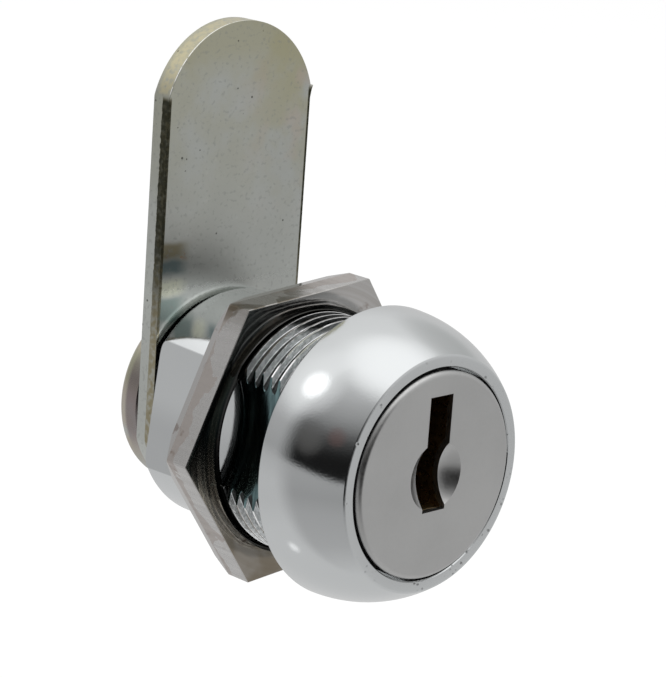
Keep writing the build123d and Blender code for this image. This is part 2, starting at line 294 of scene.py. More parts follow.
class Wire:
    """A socket that takes part in Python expressions; each operation adds its Math node."""

    def __init__(self, paint, socket):
        self.paint = paint
        self.socket = socket

    def maths(self, operation, first, second=0.0):
        return self.paint.node("ShaderNodeMath", {"operation": operation}, {0: first, 1: second})

    def __add__(self, other):
        return self.maths("ADD", self, other)

    __radd__ = __add__

    def __sub__(self, other):
        return self.maths("SUBTRACT", self, other)

    def __rsub__(self, other):
        return self.maths("SUBTRACT", other, self)

    def __mul__(self, other):
        return self.maths("MULTIPLY", self, other)

    __rmul__ = __mul__

    def __truediv__(self, other):
        return self.maths("DIVIDE", self, other)

    def __pow__(self, other):
        return self.maths("POWER", self, other)

    def size(self):
        return self.maths("ABSOLUTE", self)

    def clamp(self):
        return self.paint.node("ShaderNodeClamp", {}, {0: self})

    def between(self, low, high):
        """0 below low, 1 above high and smooth between."""
        settings = {"interpolation_type": "SMOOTHSTEP"}
        return self.paint.node("ShaderNodeMapRange", settings, {0: self, 1: low, 2: high})


class Paint:
    """The nodes of a material or of the world, under construction."""

    def __init__(self, owner):
        self.owner = owner
        owner.use_nodes = True
        self.tree = owner.node_tree
        self.tree.nodes.clear()
        self.place = self.node("ShaderNodeTexCoord", {}, {}, "Object")

    def node(self, kind, settings, sockets, out=0):
        """Adds any node: its settings first, then the values or links of its sockets."""
        made = self.tree.nodes.new(kind)
        for key, value in settings.items():
            if key == "stops":
                self.set_stops(made.color_ramp, value)
            else:
                setattr(made, key, value)
        for key, value in sockets.items():
            if isinstance(value, Wire):
                self.tree.links.new(value.socket, made.inputs[key])
            else:
                made.inputs[key].default_value = value
        return Wire(self, made.outputs[out]) if len(made.outputs) else made

    @staticmethod
    def set_stops(ramp, stops):
        while len(ramp.elements) < len(stops):
            ramp.elements.new(1.0)
        for element, (position, shade) in zip(ramp.elements, stops):
            element.position = position
            element.color = shade if len(shade) == 4 else (*shade, 1.0)

    def moved(self, location=(0, 0, 0), rotation=(0, 0, 0), scale=(1, 1, 1)):
        sockets = {"Vector": self.place, "Location": location, "Rotation": rotation, "Scale": scale}
        return self.node("ShaderNodeMapping", {}, sockets)

    def part(self, axis, vector=None):
        return self.node("ShaderNodeSeparateXYZ", {}, {0: vector or self.place}, axis)

    def radius(self):
        """Distance from the lock's axis."""
        return (self.part("X") ** 2.0 + self.part("Z") ** 2.0) ** 0.5

    def across(self, lean=0.0):
        """Distance from the upright middle plane, or from one that leans from +Z towards +X."""
        return (self.part("X") * math.cos(lean) - self.part("Z") * math.sin(lean)).size()

    def along(self, first, second):
        return self.node("ShaderNodeCombineXYZ", {}, {0: first, 1: second})

    def noise(self, scale, detail, vector=None, distortion=0.0):
        sockets = {
            "Vector": vector or self.place,
            "Scale": scale,
            "Detail": detail,
            "Distortion": distortion,
        }
        return self.node("ShaderNodeTexNoise", {}, sockets)

    def dots(self, scale):
        return self.node("ShaderNodeTexVoronoi", {}, {"Vector": self.place, "Scale": scale})

    def blend(self, factor, first, second):
        settings = {"data_type": "RGBA", "blend_type": "MIX"}
        first = first if isinstance(first, Wire) else (*first, 1.0)
        second = second if isinstance(second, Wire) else (*second, 1.0)
        return self.node("ShaderNodeMix", settings, {0: factor, 6: first, 7: second}, 2)

    def layer(self, below, tone, mask, strength=1.0):
        """Lays a tone over a shade where the mask is white."""
        return self.blend(mask * strength, below, tone)

    @staticmethod
    def total(start, *shares):
        """A start value plus each mask times its share."""
        result = start
        for mask, share in shares:
            result = mask * share + result
        return result

    def bump(self, height, distance, strength=1.0, normal=None):
        sockets = {"Height": height, "Distance": distance, "Strength": strength}
        if normal is not None:
            sockets["Normal"] = normal
        return self.node("ShaderNodeBump", {}, sockets)

    def metal(self, base, roughness, normal=None, metallic=1.0):
        base = base if isinstance(base, Wire) else (*base, 1.0)
        sockets = {"Base Color": base, "Roughness": roughness, "Metallic": metallic}
        if normal is not None:
            sockets["Normal"] = normal
        shader = self.node("ShaderNodeBsdfPrincipled", {}, sockets)
        return self.finish(shader)

    def finish(self, shader, kind="ShaderNodeOutputMaterial"):
        self.node(kind, {}, {"Surface": shader})
        return self.owner


def paint_named(name):
    return Paint(bpy.data.materials.new(name))


# Tones of dirt, stain and bare metal, and of painted shade, painted reflections and painted highlights; the
# finishes' own colours are properties
SHADOW = (0.01, 0.012, 0.012)
# Painted highlight on the thread's crests
CREST_HIGHLIGHT = (1.0, 1.0, 1.0)
PIT = (0.16, 0.16, 0.16)
# Painted shade and reflection on the flats before the nut
TEAL_DARK = (0.06, 0.10, 0.106)
TEAL_LIGHT = (0.18, 0.28, 0.29)
TURNED_BROWN = (0.30, 0.27, 0.23)
PATCH_BROWN = (0.11, 0.09, 0.06)
# Painted shade of the nut's front face, lighter and browner low down
DUSK_DARK = (0.018, 0.023, 0.023)
DUSK_LIGHT = (0.05, 0.052, 0.048)
DUSK_LOW = (0.42, 0.38, 0.31)
RING_BROWN = (0.26, 0.22, 0.17)
# Painted shade in the nut's bore and bevels
BORE_SHADE = (0.02, 0.025, 0.025)
MOUTH_SHADE = (0.03, 0.03, 0.027)
OLIVE_BROWN = (0.19, 0.155, 0.105)
RUST_DARK = (0.07, 0.03, 0.015)
RUST_LIGHT = (0.16, 0.10, 0.07)
RUST_ORANGE = (0.34, 0.16, 0.07)
SPECK = (0.05, 0.05, 0.045)
TORN_OLIVE = (0.27, 0.23, 0.13)
# Fracture band of the cut edge, darkened further as painted shade
TORN_AND_SHADE_DARK = (0.02, 0.022, 0.012)
GOLD = (0.62, 0.56, 0.36)
# Painted highlight along the cam arc's front edge
EDGE_HIGHLIGHT = (1.0, 1.0, 0.96)
# Painted shade of the clamp washer, beside the cam and on its lower side
WASHER_SHADE = (0.20, 0.16, 0.17)
WASHER_LOWER_SHADE = (0.28, 0.27, 0.24)

# Bands near the foot of the cam's face: the first three are painted reflections, the fourth an olive stain;
# lower edge, upper edge, strength and tone
CAM_FOOT_BANDS = (
    (7.4 * MM, 9.3 * MM, 0.7, (0.17, 0.24, 0.22)),
    (9.5 * MM, 10.6 * MM, 0.45, (0.80, 0.80, 0.58)),
    (11.0 * MM, 12.0 * MM, 0.75, (0.09, 0.15, 0.16)),
    (12.1 * MM, 13.4 * MM, 0.8, (0.21, 0.18, 0.095)),
)
BAND_EDGE = 0.3 * MM


def toned(tone, factor):
    """A lighter or darker tone."""
    return [min(channel * factor, 1.0) for channel in tone]


def bright_chrome(finish, head):
    """Chrome over a polished casting: fine frosting, a rougher thread and pits on the front ring; painted
    shade in the thread's roots, on the flats and low behind the nut, and painted light on the thread, its
    crests and the upper shank.
    """
    paint = paint_named("bright_chrome")
    depth = paint.part("Y")
    height = paint.part("Z")
    radius = paint.radius()
    waves = paint.noise(scale=230, detail=2)
    frost = paint.noise(scale=6200, detail=3)
    haze = paint.noise(scale=120, detail=3)
    grit = paint.noise(scale=3000, detail=3).between(0.40, 0.62)
    streaks = paint.noise(scale=1500, detail=3, vector=paint.moved(scale=(1, 1, 0.08))).between(0.35, 0.65)
    ring = (depth * -1.0).between(6.80 * MM, 6.90 * MM)
    pits = 1.0 - paint.dots(1900).between(0.10, 0.32)
    pits = pits * paint.noise(scale=420, detail=2).between(0.48, 0.62) * ring

    closing = (1.0 - depth * math.tan(head.flat_draft) * (1.0 / head.flat_distance)) * head.flat_distance
    flat = 1.0 - (closing - paint.across(head.flat_lean)).between(0.03 * MM, 0.05 * MM)
    past_thread = depth.between(head.thread_end, head.thread_end + 0.1 * MM)
    barrel = depth.between(0.02 * MM, 0.1 * MM) * (1.0 - past_thread)
    thread = barrel * (1.0 - flat)
    root_radius = head.thread_radius - head.thread_depth
    root = 1.0 - radius.between(root_radius + 0.12 * MM, root_radius + 0.15 * MM)
    crest = radius.between(head.thread_radius - 0.05 * MM, head.thread_radius - 0.02 * MM)
    # Painted shade on the top of the thread, close to the nut
    shade_near_nut = thread * height.between(8.7 * MM, 9.1 * MM) * depth.between(2.6 * MM, 3.8 * MM)
    before_nut = 1.0 - depth.between(NUT_LOW.y - 0.5 * MM, NUT_LOW.y - 0.1 * MM)
    upper = height.between(-1 * MM, 2 * MM)
    shank = depth.between(head.thread_end, head.thread_end + 0.2 * MM) * (1.0 - flat)

    # Painted shade and reflection: the flats between the head and the nut are painted a streaked dark
    # blue-green
    flat_shade = paint.blend(streaks, TEAL_DARK, TEAL_LIGHT)
    shade = paint.layer(finish.chrome, toned(finish.chrome, 0.93), haze.between(0.3, 0.8), strength=0.25)
    # Painted light: the thread is painted half again lighter than the rest of the chrome
    shade = paint.layer(shade, toned(finish.chrome, 1.5), thread)
    shade = paint.layer(shade, toned(finish.chrome, 0.7), thread * (1.0 - grit), strength=0.45)
    # Painted shade: the thread's roots and its top near the nut are painted nearly black
    shade = paint.layer(shade, SHADOW, (root + shade_near_nut).clamp() * thread, strength=0.96)
    # Painted highlight: a white line along the thread's crests
    shade = paint.layer(shade, CREST_HIGHLIGHT, thread * crest, strength=0.95)
    shade = paint.layer(shade, flat_shade, barrel * flat * before_nut, strength=0.98)
    # Painted light: the upper side of the shank is painted lighter
    shade = paint.layer(shade, toned(finish.chrome, 1.25), shank * upper)
    # Painted shade: the flats behind the nut are painted darker on their lower side
    behind_nut = flat * (1.0 - before_nut) * (1.0 - upper)
    shade = paint.layer(shade, toned(finish.chrome, 0.7), behind_nut, strength=0.5)
    shade = paint.layer(shade, PIT, pits, strength=0.75)

    flank = thread * (1.0 - crest)
    roughness = paint.total(
        0.085, (haze.between(0.25, 0.75), 0.04), (frost.between(0.45, 0.8), 0.05), (ring, 0.12), (flank, 0.22)
    )
    normal = paint.bump(waves, distance=0.02 * MM, strength=0.5)
    normal = paint.bump(frost, distance=0.0028 * MM, strength=1.0, normal=normal)
    normal = paint.bump(grit * flank, distance=0.018 * MM, strength=0.8, normal=normal)
    normal = paint.bump(1.0 - pits, distance=0.05 * MM, strength=0.8, normal=normal)
    return paint.metal(shade, roughness, normal)


def satin_cap(finish):
    """Satin pressing with a fine even grain."""
    paint = paint_named("satin_cap")
    grain = paint.noise(scale=4200, detail=3)
    cloud = paint.noise(scale=160, detail=3)
    wiped = paint.moved(rotation=(0, 0.5, 0), scale=(0.12, 1, 1.6))
    marks = paint.noise(scale=700, detail=4, vector=wiped)
    shade = paint.layer(finish.cap, toned(finish.cap, 0.94), cloud.between(0.3, 0.75))
    shade = paint.layer(shade, toned(finish.cap, 1.1), marks.between(0.58, 0.8), strength=0.3)
    roughness = paint.total(0.27, (grain.between(0.35, 0.7), 0.08), (cloud, 0.06))
    normal = paint.bump(grain, distance=0.003 * MM, strength=0.7)
    return paint.metal(shade, roughness, normal)


def nut_plate(finish):
    """Plated steel: bright turned faces with ring marks, drawn flats and brown map-like stains; painted shade
    darkens the front face, the bevels and the bore.
    """
    paint = paint_named("nut_plate")
    across = paint.part("X")
    depth = paint.part("Y")
    height = paint.part("Z")
    radius = paint.radius()
    inset = depth - NUT_LOW.y
    marks = paint.noise(scale=2600, detail=4, vector=paint.along(radius, depth))
    bands = marks.between(0.35, 0.65)
    drag = paint.noise(scale=2600, detail=3, vector=paint.moved(rotation=(0.1, 0, 0), scale=(1, 0.06, 1)))
    grain = paint.noise(scale=5200, detail=2)
    map_edge = paint.noise(scale=300, detail=3, vector=paint.moved((0.004, 0, 0.003)), distortion=0.4)
    rust = paint.noise(scale=900, detail=5).between(0.60, 0.70)
    rust = rust * paint.noise(scale=200, detail=2).between(0.48, 0.58)

    outside = radius.between(10.55 * MM, 10.6 * MM)
    flat = outside * inset.between(0.02 * MM, 0.04 * MM) * (NUT_HIGH.y - depth).between(0.6 * MM, 0.62 * MM)
    front = (1.0 - inset.between(0.36 * MM, 0.40 * MM)) * (1.0 - flat)
    past_mouth = radius.between(9.93 * MM, 9.96 * MM)
    mouth = front * (1.0 - past_mouth)
    front = front * past_mouth
    inner = (1.0 - front) * (1.0 - mouth) * (1.0 - radius.between(9.9 * MM, 10.0 * MM))
    rear_mouth = depth.between(8.2 * MM, 8.3 * MM) * (1.0 - radius.between(10.3 * MM, 10.34 * MM))
    inner = inner + rear_mouth

    low = (height * -1.0 / radius).between(0.35, 0.8)
    # Mask of the painted shade on the front face: on the left, fading towards the right and the bottom
    face_shade = (1.0 - (across / radius).between(-0.62, 0.25)) * (1.0 - low)
    below = 1.0 - height.between(-5.0 * MM, 1.5 * MM)
    top = height.between(8.5 * MM, 10.5 * MM) * (1.0 - across.between(-4 * MM, 3 * MM))
    stain = (depth + (map_edge - 0.5) * 7 * MM).between(7.74 * MM, 7.79 * MM)
    ring = radius.between(9.98 * MM, 10.08 * MM) * (1.0 - radius.between(10.6 * MM, 10.8 * MM))
    near_bore = 1.0 - radius.between(10.1 * MM, 10.8 * MM)
    patch = top * flat * (map_edge.between(0.44, 0.48) * 0.5 + 0.4) * (drag * 0.4 + 0.8)
    olive = front * low * (map_edge.between(0.45, 0.6) * 0.25 + 0.6)

    # Tone of the painted shade: nearly black with turned bands, lighter and browner towards the bottom, with
    # a brown ring near the bore
    dusk = paint.blend(bands, DUSK_DARK, DUSK_LIGHT)
    dusk = paint.layer(dusk, DUSK_LOW, below * (bands * 0.75 + 0.25))
    dusk = paint.layer(dusk, RING_BROWN, ring * (bands * 0.6 + 0.4), strength=0.9)
    shade = paint.layer(finish.nut, toned(finish.nut, 0.88), drag.between(0.3, 0.8) * flat)
    shade = paint.layer(shade, toned(finish.nut, 0.7), grain.between(0.45, 0.75) * flat, strength=0.2)
    shade = paint.layer(shade, TURNED_BROWN, bands * front, strength=0.35)
    shade = paint.layer(shade, finish.nut_stain, stain * flat, strength=0.6)
    shade = paint.layer(shade, PATCH_BROWN, patch)
    # Painted shade: most of the front face is painted nearly black
    shade = paint.layer(shade, dusk, front * face_shade, strength=0.97)
    # Painted shade: the bore, its rear bevel and the front bevel are painted nearly black
    shade = paint.layer(shade, BORE_SHADE, inner, strength=0.95)
    shade = paint.layer(shade, MOUTH_SHADE, mouth, strength=0.95)
    shade = paint.layer(shade, OLIVE_BROWN, olive)
    shade = paint.layer(shade, RUST_DARK, front * low * near_bore * rust.between(0.0, 0.3), strength=0.8)
    shade = paint.layer(shade, RUST_LIGHT, rust, strength=0.5)

    roughness = paint.total(
        0.07, (drag.between(0.2, 0.8) * flat, 0.12), (stain * flat, 0.1), (flat, 0.1), (marks, 0.08)
    )
    normal = paint.bump(drag * flat, distance=0.006 * MM, strength=0.8)
    normal = paint.bump(marks * front, distance=0.006 * MM, strength=0.8, normal=normal)
    # Where the front face carries painted shade it is also made partly non-metallic, more so low down
    face_shade_dull = front * face_shade * (below * (bands * 0.35 + 0.1) + 0.04)
    return paint.metal(shade, roughness, normal, metallic=1.0 - face_shade_dull)


def cam_zinc(finish):
    """Zinc plate with a yellow and pink bloom, bands at the foot that are painted reflections and an olive
    stain, a dark fracture band on the cut edge that is partly painted shade, and a painted highlight on the
    arc's front edge.
    """
    paint = paint_named("cam_zinc")
    across = paint.part("X")
    height = paint.part("Z")
    inset = paint.part("Y") - CAM_LOW.y
    cloud = paint.noise(scale=130, detail=5)
    fine = paint.noise(scale=2300, detail=3)
    flecks = paint.noise(scale=1100, detail=3).between(0.60, 0.76)
    speckle = paint.noise(scale=2900, detail=2)
    specks = 1.0 - paint.dots(900).between(0.07, 0.11)
    specks = specks * paint.noise(scale=340, detail=1).between(0.54, 0.56)

    top = height.between(11 * MM, 29 * MM)
    crown = height.between(25.5 * MM, 29.0 * MM)
    side = across.between(-2 * MM, 7 * MM)
    bloom = top * (side * 0.5 + 0.5) * paint.noise(scale=260, detail=5).between(0.36, 0.62)
    veil = paint.noise(scale=300, detail=4, vector=paint.moved((0.02, 0, 0)))
    blush = top * side * veil.between(0.48, 0.64)
    shade = paint.layer(finish.zinc, toned(finish.zinc, 0.92), cloud.between(0.35, 0.7))
    shade = paint.layer(shade, toned(finish.zinc, 1.18), flecks, strength=0.25)
    shade = paint.layer(shade, finish.zinc_yellow, bloom, strength=0.9)
    shade = paint.layer(shade, finish.zinc_pink, blush, strength=0.7)
    shade = paint.layer(shade, finish.zinc_yellow, crown, strength=0.65)

    level = height + (cloud - 0.5) * 2.5 * MM
    left = (1.0 - across.between(-6.0 * MM, -4.2 * MM)) * (1.0 - inset.between(0.01 * MM, 0.04 * MM))
    # The first three bands are painted reflections, the olive band is a stain; all on the left of the front
    # face
    for low, high, strength, tone in CAM_FOOT_BANDS:
        band = level.between(low - BAND_EDGE, low + BAND_EDGE)
        band = band * (1.0 - level.between(high - BAND_EDGE, high + BAND_EDGE))
        shade = paint.layer(shade, tone, band * left, strength)
    rust = level.between(11.9 * MM, 12.3 * MM) * (1.0 - level.between(13.2 * MM, 13.8 * MM))
    rust = rust * left * paint.noise(scale=1500, detail=2).between(0.60, 0.66)
    shade = paint.layer(shade, RUST_ORANGE, rust, strength=0.7)
    shade = paint.layer(shade, toned(finish.zinc, 0.6), speckle.between(0.56, 0.70), strength=0.4)
    shade = paint.layer(shade, SPECK, specks, strength=0.8)

    cut = paint.across().between(CAM_HIGH.x - 0.28 * MM, CAM_HIGH.x - 0.2 * MM)
    ragged = inset + (fine - 0.5) * 0.3 * MM
    torn_and_shade = cut * (1.0 - ragged.between(0.76 * MM, 0.84 * MM)) * (1.0 - height.between(24.7 * MM, 25.2 * MM))
    shade = paint.layer(shade, TORN_OLIVE, torn_and_shade * (fine.between(0.35, 0.6) * 0.5 + 0.35))
    # Painted shade over the fracture band of the cut edge: it is laid over with near black, darker higher up
    torn_and_shade = torn_and_shade * (height.between(4 * MM, 14 * MM) * 0.85 + 0.08) * (speckle.between(0.3, 0.6) * 0.15 + 0.85)
    shade = paint.layer(shade, TORN_AND_SHADE_DARK, torn_and_shade)

    arch = height.between(CAM_HIGH.z - 5.6 * MM, CAM_HIGH.z - 5.2 * MM) * (1.0 - across.between(0.0, 2 * MM))
    gold = arch * inset.between(0.10 * MM, 0.2 * MM) * (1.0 - inset.between(1.2 * MM, 1.7 * MM))
    rim = arch * inset.between(0.01 * MM, 0.03 * MM) * (1.0 - inset.between(0.10 * MM, 0.13 * MM))
    shade = paint.layer(shade, GOLD, gold * fine.between(0.3, 0.6), strength=0.7)
    # Painted highlight: a light line along the front edge of the arc
    shade = paint.layer(shade, EDGE_HIGHLIGHT, rim * speckle.between(0.3, 0.5), strength=0.9)

    worn = height.between(8.6 * MM, 10.4 * MM)
    roughness = paint.total(0.06, (fine.between(0.3, 0.8), 0.07), (cloud, 0.05), (worn, 0.21), (torn_and_shade, 0.2))
    normal = paint.bump(paint.noise(scale=90, detail=2), distance=0.012 * MM, strength=0.6)
    normal = paint.bump(fine, distance=0.004 * MM, strength=0.8, normal=normal)
    return paint.metal(shade, roughness, normal)


def washer_zinc(finish):
    """Plain zinc plate."""
    paint = paint_named("washer_zinc")
    cloud = paint.noise(scale=220, detail=4)
    fine = paint.noise(scale=1800, detail=3)
    shade = paint.layer(finish.zinc, toned(finish.zinc, 1.08), cloud.between(0.4, 0.7))
    roughness = paint.total(0.2, (fine.between(0.3, 0.8), 0.1))
    return paint.metal(shade, roughness, paint.bump(fine, distance=0.004 * MM, strength=0.6))


def yellow_zinc(finish):
    """Zinc plate with a pale yellow and pink bloom, with painted shade close to the cam and on the lower
    side.
    """
    paint = paint_named("yellow_zinc")
    height = paint.part("Z")
    inset = paint.part("Y") - CLAMP_LOW.y
    cloud = paint.noise(scale=240, detail=4)
    fine = paint.noise(scale=1700, detail=3)
    blush = paint.noise(scale=330, detail=4, vector=paint.moved((0.01, 0, 0.02))).between(0.46, 0.62)
    # Painted shade beside the cam, round the middle height
    dusk = (1.0 - inset.between(1.2 * MM, 1.6 * MM)) * (1.0 - height.size().between(2 * MM, 5 * MM))
    # Painted shade, darker towards the bottom
    foot = 1.0 - height.between(-6 * MM, -2 * MM)
    shade = paint.layer(finish.zinc, finish.zinc_yellow, cloud.between(0.35, 0.6), strength=0.7)
    shade = paint.layer(shade, finish.zinc_pink, blush, strength=0.6)
    shade = paint.layer(shade, WASHER_SHADE, dusk, strength=0.75)
    shade = paint.layer(shade, WASHER_LOWER_SHADE, foot, strength=0.75)
    roughness = paint.total(0.2, (fine.between(0.3, 0.8), 0.1))
    return paint.metal(shade, roughness, paint.bump(fine, distance=0.004 * MM, strength=0.6))


def brass(finish, name):
    """Machined brass with darker clouds."""
    paint = paint_named(name)
    cloud = paint.noise(scale=300, detail=4)
    fine = paint.noise(scale=2400, detail=3)
    shade = paint.layer(finish.brass, toned(finish.brass, 0.7), cloud.between(0.35, 0.7))
    roughness = paint.total(0.26, (fine.between(0.3, 0.8), 0.14))
    return paint.metal(shade, roughness, paint.bump(fine, distance=0.004 * MM, strength=0.7))


def spring_wire(finish, name, darkness=1.0):
    """Drawn steel."""
    paint = paint_named(name)
    fine = paint.noise(scale=2600, detail=3)
    base = toned(finish.wire, darkness)
    shade = paint.layer(base, toned(base, 0.8), fine.between(0.35, 0.7))
    roughness = paint.total(0.2, (fine, 0.15))
    return paint.metal(shade, roughness, paint.bump(fine, distance=0.002 * MM, strength=0.6))


def direction(azimuth, elevation):
    """A unit vector; azimuth runs from the front, -Y, towards +X, both in degrees."""
    side = math.radians(azimuth)
    lift = math.radians(elevation)
    return Vector((math.sin(side) * math.cos(lift), -math.cos(side) * math.cos(lift), math.sin(lift)))


# Modelling with Blender's own operators

def select_only(piece):
    bpy.ops.object.select_all(action="DESELECT")
    piece.select_set(True)
    bpy.context.view_layer.objects.active = piece


def start_at(name, corner):
    """A new object in edit mode that holds one vertex, ready to be drawn on from."""
    bpy.ops.object.select_all(action="DESELECT")
    bpy.ops.mesh.primitive_plane_add(size=MM, location=corner)
    bpy.ops.object.transform_apply(location=True, rotation=True, scale=True)
    piece = bpy.context.object
    piece.name = name
    piece.data.name = name
    bpy.ops.object.mode_set(mode="EDIT")
    bpy.ops.mesh.select_all(action="SELECT")
    bpy.ops.mesh.merge(type="CENTER")
    return piece


def draw(points):
    """Extrudes the selected vertex from point to point and back to the first."""
    corners = [Vector(point) for point in points]
    for here, there in zip(corners, corners[1:] + corners[:1]):
        bpy.ops.mesh.extrude_region_move(TRANSFORM_OT_translate={"value": there - here})
    bpy.ops.mesh.select_all(action="SELECT")
    bpy.ops.mesh.remove_doubles(threshold=TINY)


def tidy_shell():
    """Merges doubles, drops loose edges and turns the faces outwards."""
    bpy.ops.mesh.select_all(action="SELECT")
    bpy.ops.mesh.remove_doubles(threshold=TINY)
    bpy.ops.mesh.delete_loose(use_edges=True)
    bpy.ops.mesh.select_all(action="SELECT")
    bpy.ops.mesh.normals_make_consistent(inside=False)
    bpy.ops.object.mode_set(mode="OBJECT")


def turned(name, outline, steps=DRUM_STEPS):
    """Turns a closed outline of (radius, place) points about the lock's axis."""
    points = [(radius, place, 0) for radius, place in outline]
    piece = start_at(name, points[0])
    draw(points)
    bpy.ops.mesh.select_all(action="SELECT")
    bpy.ops.mesh.spin(steps=steps, angle=FULL_TURN, center=(0, 0, 0), axis=(0, 1, 0))
    tidy_shell()
    return piece


def plate(name, outline, front, rear):
    """Fills a closed outline of (x, z) points and thickens it from front to rear."""
    points = [(x, front, z) for x, z in outline]
    piece = start_at(name, points[0])
    draw(points)
    bpy.ops.mesh.select_all(action="SELECT")
    bpy.ops.mesh.edge_face_add()
    bpy.ops.mesh.extrude_region_move(TRANSFORM_OT_translate={"value": (0, rear - front, 0)})
    tidy_shell()
    return piece


def sector(name, inner, outer, front, rear, start, sweep, steps):
    """Part of a ring; its angles run from +Z towards +X."""
    middle = Vector(((inner + outer) / 2, (front + rear) / 2, 0))
    bpy.ops.object.select_all(action="DESELECT")
    bpy.ops.mesh.primitive_plane_add(size=1, location=middle)
    piece = bpy.context.object
    piece.name = name
    piece.scale = (outer - inner, rear - front, 1)
    bpy.ops.object.transform_apply(location=True, rotation=True, scale=True)
    lean_over(piece, start - math.pi / 2)
    bpy.ops.object.mode_set(mode="EDIT")
    bpy.ops.mesh.select_all(action="SELECT")
    bpy.ops.mesh.spin(steps=steps, angle=sweep, center=(0, 0, 0), axis=(0, -1, 0))
    tidy_shell()
    return piece


def lean_over(piece, turn, axis=1, middle=(0, 0, 0)):
    """Turns a piece about the lock's axis, from +Z towards +X, or about another, then moves it."""
    select_only(piece)
    piece.rotation_euler[axis] = turn
    piece.location = middle
    bpy.ops.object.transform_apply(location=True, rotation=True, scale=False)


def arc(centre, radius, start, end, count):
    """Points of an arc, from start to end in radians."""
    turns = [start + (end - start) * index / count for index in range(count + 1)]
    return [(centre[0] + radius * math.cos(turn), centre[1] + radius * math.sin(turn)) for turn in turns]


def combine(piece, operation, tool):
    """Applies a Boolean with a closed tool and deletes the tool."""
    modifier = piece.modifiers.new(operation.lower(), "BOOLEAN")
    modifier.operation = operation
    modifier.solver = "MANIFOLD"
    modifier.object = tool
    apply_modifier(piece, modifier)
    bpy.data.objects.remove(tool)
    return piece


def apply_modifier(piece, modifier):
    select_only(piece)
    bpy.ops.object.modifier_apply(modifier=modifier.name)


def soften(piece, width):
    """Breaks the sharp edges of a piece."""
    modifier = piece.modifiers.new("edges", "BEVEL")
    modifier.width = width
    modifier.segments = 1
    modifier.limit_method = "ANGLE"
    modifier.angle_limit = math.radians(BEVEL_LIMIT)
    apply_modifier(piece, modifier)


def smooth(piece, degrees=SMOOTH_LIMIT):
    select_only(piece)
    bpy.ops.object.shade_smooth_by_angle(angle=math.radians(degrees))


def threaded_rod(name, crest, head, front, rear):
    """A solid rod with a helical thread: narrow crests and wide round roots, all rods in phase."""
    pitch = head.thread_pitch
    crest_width = head.crest_share * pitch
    half = (pitch - crest_width) / 2
    start = (math.floor(front / pitch) - SPARE_TURNS) * pitch
    outline = [(crest, start), (crest, start + crest_width)]
    for index in range(1, ROOT_STEPS):
        share = 1 - 2 * index / ROOT_STEPS
        drop = (1 - abs(share) ** (2 * head.root_fullness)) ** 0.5 * head.thread_depth
        outline.append((crest - drop, start + crest_width + half * (1 - share)))
    outline.append((crest, start + pitch))
    piece = start_at(name, (crest, start, 0))
    for here, there in zip(outline, outline[1:]):
        step = (there[0] - here[0], there[1] - here[1], 0)
        bpy.ops.mesh.extrude_region_move(TRANSFORM_OT_translate={"value": step})
    bpy.ops.object.mode_set(mode="OBJECT")
    modifier = piece.modifiers.new("thread", "SCREW")
    modifier.axis = "Y"
    modifier.screw_offset = pitch
    modifier.iterations = math.ceil((rear - front) / pitch) + 2 * SPARE_TURNS
    modifier.steps = THREAD_STEPS
    modifier.render_steps = THREAD_STEPS
    modifier.use_merge_vertices = True
    modifier.merge_threshold = TINY
    apply_modifier(piece, modifier)
    bpy.ops.object.mode_set(mode="EDIT")
    bpy.ops.mesh.select_all(action="SELECT")
    bpy.ops.mesh.remove_doubles(threshold=SEAM)
    bpy.ops.mesh.select_mode(type="EDGE")
    bpy.ops.mesh.select_all(action="DESELECT")
    bpy.ops.mesh.select_non_manifold()
    bpy.ops.mesh.extrude_region_move()
    bpy.ops.mesh.merge(type="COLLAPSE")
    bpy.ops.mesh.select_mode(type="VERT")
    tidy_shell()
    outer = crest + REACH
    blank = [(0, front), (outer, front), (outer, rear), (0, rear)]
    return combine(piece, "INTERSECT", turned(name + "_blank", blank))


def settle(piece, body, node, material):
    """Gives a finished piece its finish, its body and the node that it stands for."""
    piece.data.materials.clear()
    piece.data.materials.append(material)
    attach(piece, body)
    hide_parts(node)


def square_outline(side, corner):
    half = side / 2
    inner = half - corner
    points = []
    for quarter, (x, z) in enumerate(((inner, inner), (-inner, inner), (-inner, -inner), (inner, -inner))):
        start = quarter * math.pi / 2
        points += arc((x, z), corner, start, start + math.pi / 2, EDGE_STEPS)
    return points


def hexagon_outline(corner, turn, way):
    """Corners of a hexagon, from +X towards +Z where way is 1."""
    turns = [turn + math.radians(HEXAGON_STEP * index) for index in range(6)]
    return [(corner * math.cos(there), way * corner * math.sin(there)) for there in turns]


